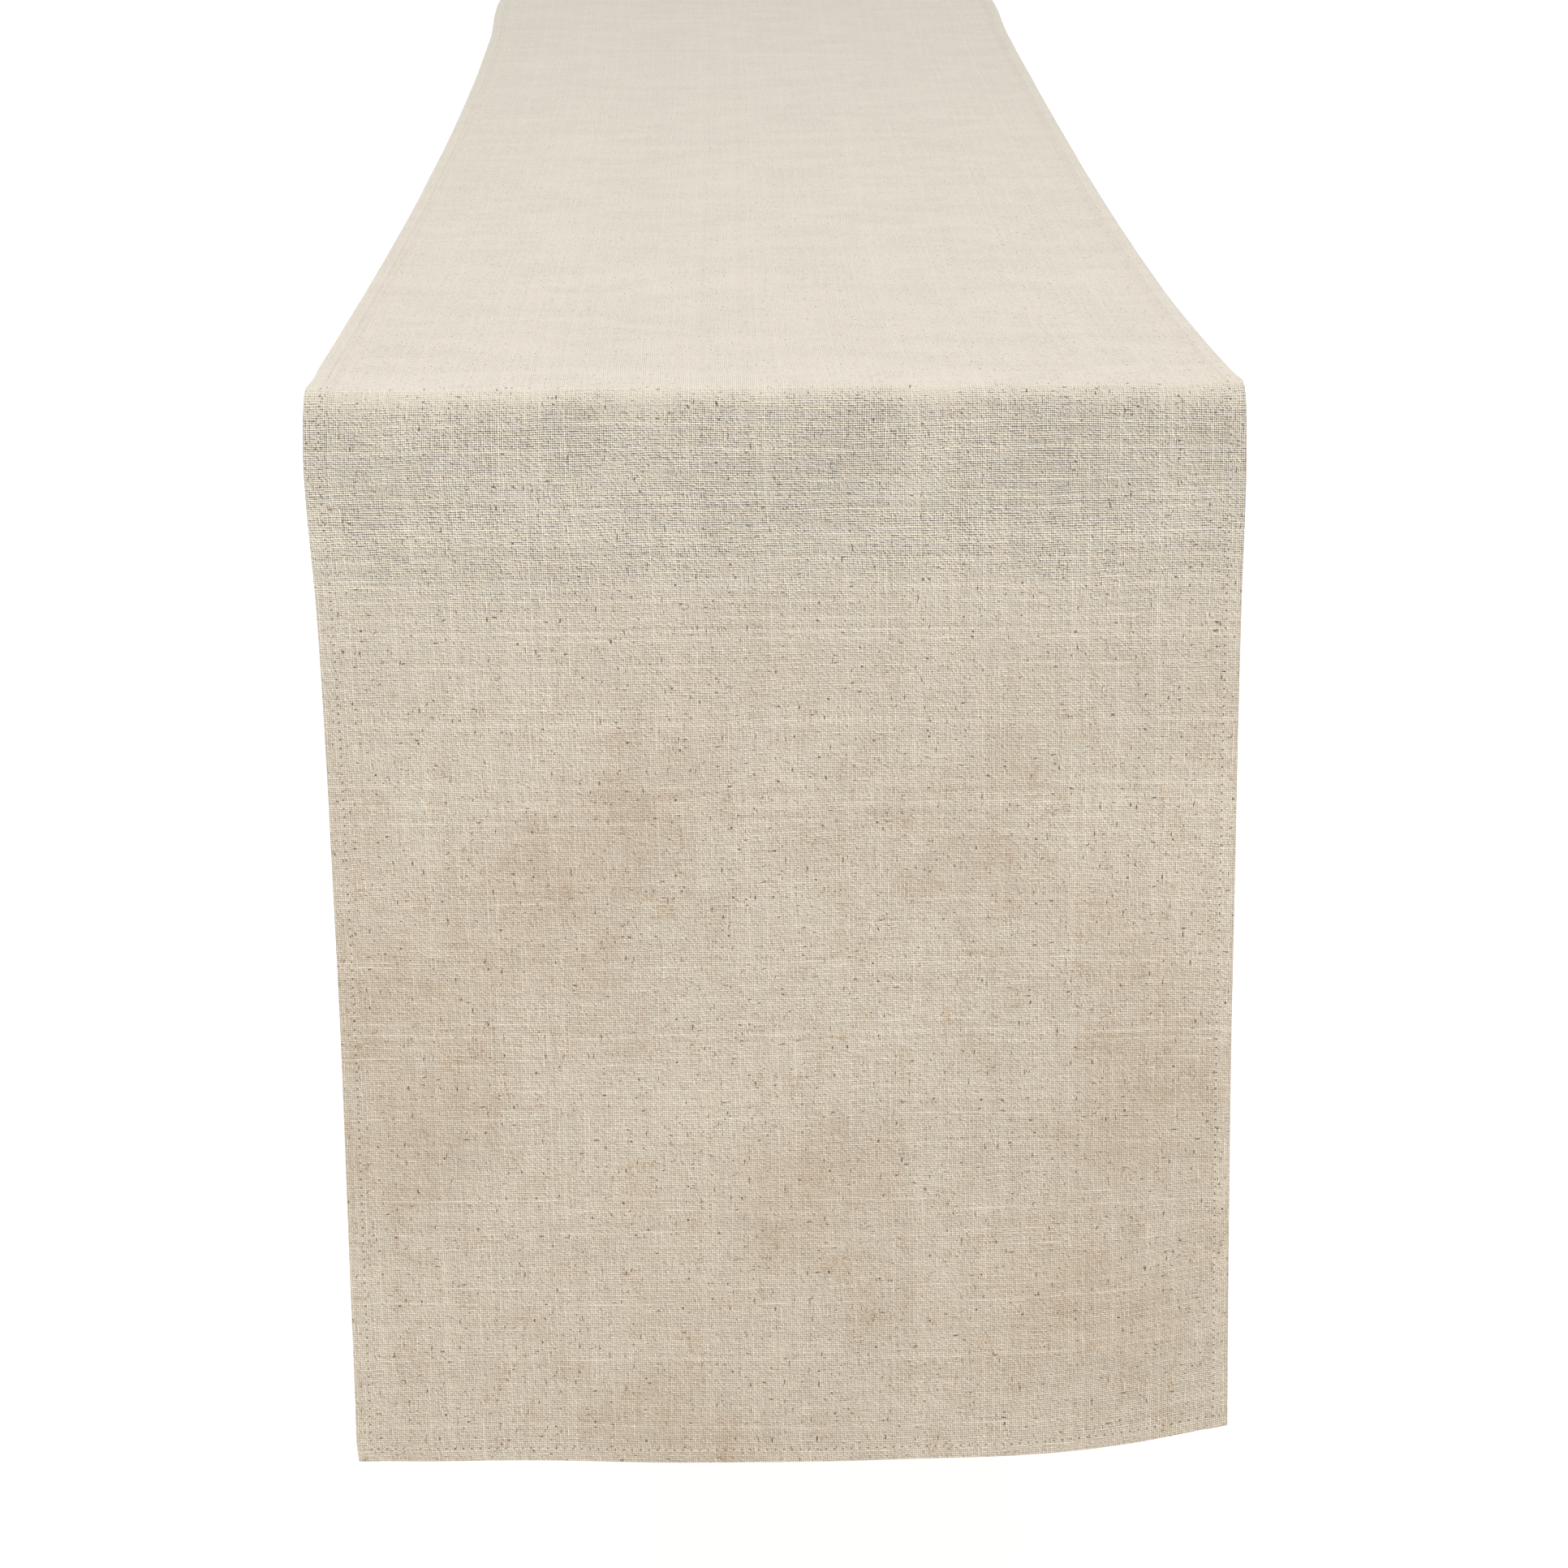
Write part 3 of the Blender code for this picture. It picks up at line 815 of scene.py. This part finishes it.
hem_cloth = woven_material("hem_cloth", layered=True)
hems = {"front": [], "back": []}
for end, sign in ENDS.items():
    for side, side_sign in SIDES.items():
        hem = add_side_hem(f"{end}_{side}_turned_hem", sign, side_sign, hem_cloth)
        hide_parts(f"top_{side}_hem", f"{end}_bend_{side}_hem", f"{end}_drop_{side}_hem")
        blend_over_edge(hem)
        hems[end].append(hem)


# ---------------------------------------------------------------------------------------------------
# The end hems. Turned under twice like the sides and sewn after them, so each corner is a stack of
# the end hem's two layers under the side hem's two, inside one outer fold.


def add_end_hem(name, end, material):
    outside_in, outside_up, slit_in, slit_up = (part[:, None] for part in hem_section())
    across = across_lines()[0]
    across = across[np.abs(across) < HALF_WIDTH - FOLD_RADIUS][None, :]

    def place(inwards, up):
        along = HALF_LENGTH - inwards
        height = base_height(across, along) + up * pinched(across, along)
        return laid(across, end * along, height)

    flat = np.stack(np.broadcast_arrays(across, end * (HALF_LENGTH + hem_flat()[:, None])), axis=-1)
    return add_cloth_strip(name, place(outside_in, outside_up), place(slit_in, slit_up), flat, material)


for end, sign in ENDS.items():
    hem = add_end_hem(f"{end}_end_turned_hem", sign, hem_cloth)
    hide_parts(f"{end}_end_hem", f"{end}_left_corner", f"{end}_right_corner")
    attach(hem, f"{end}_drop")
    hems[end].append(hem)


# ---------------------------------------------------------------------------------------------------
# The sewing threads. A lockstitch holds each hem: the needle thread shows on the face and the bobbin
# thread on the underside, in stitches a little over three millimetres long that dip into the cloth.

STITCH_DIP = 0.00032
STITCH_FOOT = 0.94  # where a stitch dives into the cloth, as a share of half its length
STITCH_SHOULDER = 0.72  # and where it starts to turn down
STITCH_SIDES = 5
STITCH_STEPS = 6
STITCH_TILT = 0.07  # radians either way
THREAD = (0.880, 0.830, 0.730)
THREAD_SHADE = (0.660, 0.590, 0.470)


def thread_material():
    material, paint = new_material("sewing_thread")
    place = paint.add("ShaderNodeTexCoord", out=3)
    ply = paint.add("ShaderNodeTexNoise", {}, {"Vector": place, "Scale": 5200.0, "Detail": 1.0})
    wear = paint.add("ShaderNodeTexNoise", {}, {"Vector": place, "Scale": 260.0, "Detail": 2.0})
    colour = paint.add(
        "ShaderNodeMix",
        {"data_type": "RGBA"},
        {0: ply * 0.6 + wear * 0.5 - 0.15, 6: (*THREAD_SHADE, 1.0), 7: (*THREAD, 1.0)},
        out=2,
    )
    bump = paint.add("ShaderNodeBump", {}, {"Strength": 0.4, "Distance": 0.00005, "Height": ply})
    shader = paint.add(
        "ShaderNodeBsdfPrincipled",
        {},
        {"Base Color": colour, "Roughness": 0.75 - wear * 0.1, "Normal": bump, "Sheen Weight": 0.2},
    )
    finish_material(paint, shader)
    return material


def stitch_tree():
    """Puts one stitch on each point, along its run and standing off its face."""
    tree = bpy.data.node_groups.new("stitch_row", "GeometryNodeTree")
    inputs = {}
    for label, kind in (
        ("Places", "NodeSocketGeometry"),
        ("Stitch Length", "NodeSocketFloat"),
        ("Dip", "NodeSocketFloat"),
        ("Thread Radius", "NodeSocketFloat"),
        ("Tilt", "NodeSocketFloat"),
        ("Seed", "NodeSocketInt"),
        ("Thread", "NodeSocketMaterial"),
    ):
        inputs[label] = tree.interface.new_socket(label, in_out="INPUT", socket_type=kind).identifier
    tree.interface.new_socket("Stitches", in_out="OUTPUT", socket_type="NodeSocketGeometry")
    paint = Paint(tree)
    entry = tree.nodes.new("NodeGroupInput")
    given = {label: Paint(tree, entry.outputs[label]) for label in inputs}

    half = given["Stitch Length"] * 0.5
    dip = given["Dip"] * -1.0

    def point(along, up):
        return paint.add("ShaderNodeCombineXYZ", {}, {0: along, 2: up})

    arch = paint.add(
        "GeometryNodeCurvePrimitiveBezierSegment",
        {},
        {
            "Resolution": STITCH_STEPS,
            "Start": point(half * -STITCH_FOOT, dip),
            "Start Handle": point(half * -STITCH_SHOULDER, given["Thread Radius"]),
            "End Handle": point(half * STITCH_SHOULDER, given["Thread Radius"]),
            "End": point(half * STITCH_FOOT, dip),
        },
    )
    ring = paint.add(
        "GeometryNodeCurvePrimitiveCircle",
        {"mode": "RADIUS"},
        {"Resolution": STITCH_SIDES, "Radius": given["Thread Radius"]},
    )
    stitch = paint.add(
        "GeometryNodeCurveToMesh",
        {},
        {"Curve": arch, "Profile Curve": ring, "Fill Caps": True},
    )
    direction = {"data_type": "FLOAT_VECTOR"}
    run = paint.add("GeometryNodeInputNamedAttribute", direction, {"Name": "run"})
    facing = paint.add("GeometryNodeInputNamedAttribute", direction, {"Name": "facing"})
    turn = paint.add(
        "FunctionNodeAxesToRotation",
        {"primary_axis": "Z", "secondary_axis": "X"},
        {0: facing, 1: run},
    )
    askew = paint.add(
        "FunctionNodeRandomValue",
        {"data_type": "FLOAT"},
        {2: given["Tilt"] * -1.0, 3: given["Tilt"], "Seed": given["Seed"]},
        out=1,
    )
    askew = paint.add("ShaderNodeCombineXYZ", {}, {2: askew})
    askew = paint.add("FunctionNodeEulerToRotation", {}, {0: askew})
    turn = paint.add("FunctionNodeRotateRotation", {"rotation_space": "LOCAL"}, {0: turn, 1: askew})
    row = paint.add(
        "GeometryNodeInstanceOnPoints",
        {},
        {"Points": given["Places"], "Instance": stitch, "Rotation": turn},
    )
    row = paint.add("GeometryNodeRealizeInstances", {}, {0: row})
    row = paint.add("GeometryNodeSetShadeSmooth", {}, {"Geometry": row})
    row = paint.add("GeometryNodeSetMaterial", {}, {"Geometry": row, "Material": given["Thread"]})
    leave = tree.nodes.new("NodeGroupOutput")
    tree.links.new(row.socket, leave.inputs["Stitches"])
    return tree, inputs


def add_stitch_row(name, places, run, facing, seed):
    """A row of stitches centred on these points, as a plain mesh."""
    mesh = bpy.data.meshes.new(name)
    mesh.from_pydata(places.tolist(), [], [])
    for label, values in (("run", run), ("facing", facing)):
        mesh.attributes.new(label, "FLOAT_VECTOR", "POINT").data.foreach_set("vector", values.ravel())
    piece = add_piece(name, mesh)
    modifier = piece.modifiers.new("stitches", "NODES")
    modifier.node_group = stitches
    values = {
        "Stitch Length": STITCH_LENGTH,
        "Dip": STITCH_DIP,
        "Thread Radius": THREAD_RADIUS,
        "Tilt": STITCH_TILT,
        "Seed": seed,
        "Thread": sewing_thread,
    }
    for label, value in values.items():
        modifier[stitch_inputs[label]] = value
    evaluated = piece.evaluated_get(bpy.context.evaluated_depsgraph_get())
    piece.data = bpy.data.meshes.new_from_object(evaluated)
    piece.modifiers.clear()
    piece.data.name = name
    return piece


def stitch_row(name, across, along, end, on_face, seed):
    """Stitches along a line of the flat cloth, on its face or on its underside."""
    across, along = np.broadcast_arrays(across, along)
    across, along = across.astype(float), along.astype(float)
    base = base_height(across, along)
    height = base + stack_height(across, along) if on_face else base
    step = THICKNESS  # a short way off, to find which way is along and which is out
    here = laid(across, end * along, height)
    run_across, run_along = (0.0, step) if np.ptp(along) > 0 else (step, 0.0)
    run = laid(across + run_across, end * (along + run_along), height) - here
    facing = laid(across, end * along, height + step) - here
    facing *= 1.0 if on_face else -1.0
    return add_stitch_row(name, here, run, facing, seed)


sewing_thread = thread_material()
stitches, stitch_inputs = stitch_tree()
threads = {"front": [], "back": []}
for end, sign in ENDS.items():
    side_count = int(END_STITCH / STITCH_LENGTH)
    end_count = int(SIDE_STITCH / STITCH_LENGTH)
    down_side = (np.arange(side_count) + 0.5) * STITCH_LENGTH
    over_end = (np.arange(-end_count, end_count) + 0.5) * STITCH_LENGTH
    for seed, (kind, on_face) in enumerate((("needle", True), ("bobbin", False))):
        for side, side_sign in SIDES.items():
            thread = stitch_row(
                f"{end}_{side}_{kind}_stitches", side_sign * SIDE_STITCH, down_side, sign, on_face, seed
            )
            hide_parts(f"top_{side}_{kind}_thread", f"{end}_{side}_{kind}_thread")
            blend_over_edge(thread)
            threads[end].append(thread)
        thread = stitch_row(f"{end}_end_{kind}_stitches", over_end, END_STITCH, sign, on_face, seed + 2)
        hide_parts(f"{end}_end_{kind}_thread")
        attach(thread, f"{end}_drop")
        threads[end].append(thread)


# ---------------------------------------------------------------------------------------------------
# Loose thread ends. At the front drop's left corner the ends of the needle thread were left long,
# and they lie on the cloth's face where they fell.

TAIL_STEPS = 10  # points between each two of a tail's own
TAIL_RADIUS = 0.00017  # the cut ends untwist and swell
# Each tail's own points, as (across, up from the lower edge).
TAILS = [
    [
        (-0.1630, 0.0052), (-0.1598, 0.0066), (-0.1563, 0.0040), (-0.1528, 0.0063), (-0.1492, 0.0038),
        (-0.1455, 0.0058), (-0.1424, 0.0041), (-0.1390, 0.0054), (-0.1352, 0.0049),
    ],
    [(-0.1376, 0.0212), (-0.1385, 0.0170), (-0.1383, 0.0121), (-0.1402, 0.0078), (-0.1424, 0.0041)],
    [(-0.1634, 0.0388), (-0.1626, 0.0369), (-0.1608, 0.0350), (-0.1598, 0.0326)],
    [(-0.1590, 0.0182), (-0.1597, 0.0168), (-0.1591, 0.0150)],
]


def add_loose_threads(name, end):
    """Round tails lying on the cloth's face, as one plain mesh."""
    curve = bpy.data.curves.new(name, "CURVE")
    curve.dimensions = "3D"
    curve.bevel_depth = TAIL_RADIUS
    curve.bevel_resolution = 1
    curve.use_fill_caps = True
    for tail in TAILS:
        at = np.linspace(0, len(tail) - 1, (len(tail) - 1) * TAIL_STEPS + 1)
        across = line_through([(i, place[0]) for i, place in enumerate(tail)], at)
        along = HALF_LENGTH - line_through([(i, place[1]) for i, place in enumerate(tail)], at)
        height = base_height(across, along) + stack_height(across, along) + TAIL_RADIUS
        spline = curve.splines.new("POLY")
        spline.points.add(len(at) - 1)
        for point, place in zip(spline.points, laid(across, ENDS[end] * along, height)):
            point.co = (*place, 1.0)
    guide = bpy.data.objects.new(name, curve)
    bpy.context.scene.collection.objects.link(guide)
    mesh = bpy.data.meshes.new_from_object(guide.evaluated_get(bpy.context.evaluated_depsgraph_get()))
    bpy.data.objects.remove(guide)
    mesh.materials.clear()
    mesh.materials.append(sewing_thread)
    mesh.polygons.foreach_set("use_smooth", [True] * len(mesh.polygons))
    return add_piece(name, mesh)


loose_threads = add_loose_threads("front_loose_threads", "front")
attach(loose_threads, "front_drop")
threads["front"].append(loose_threads)
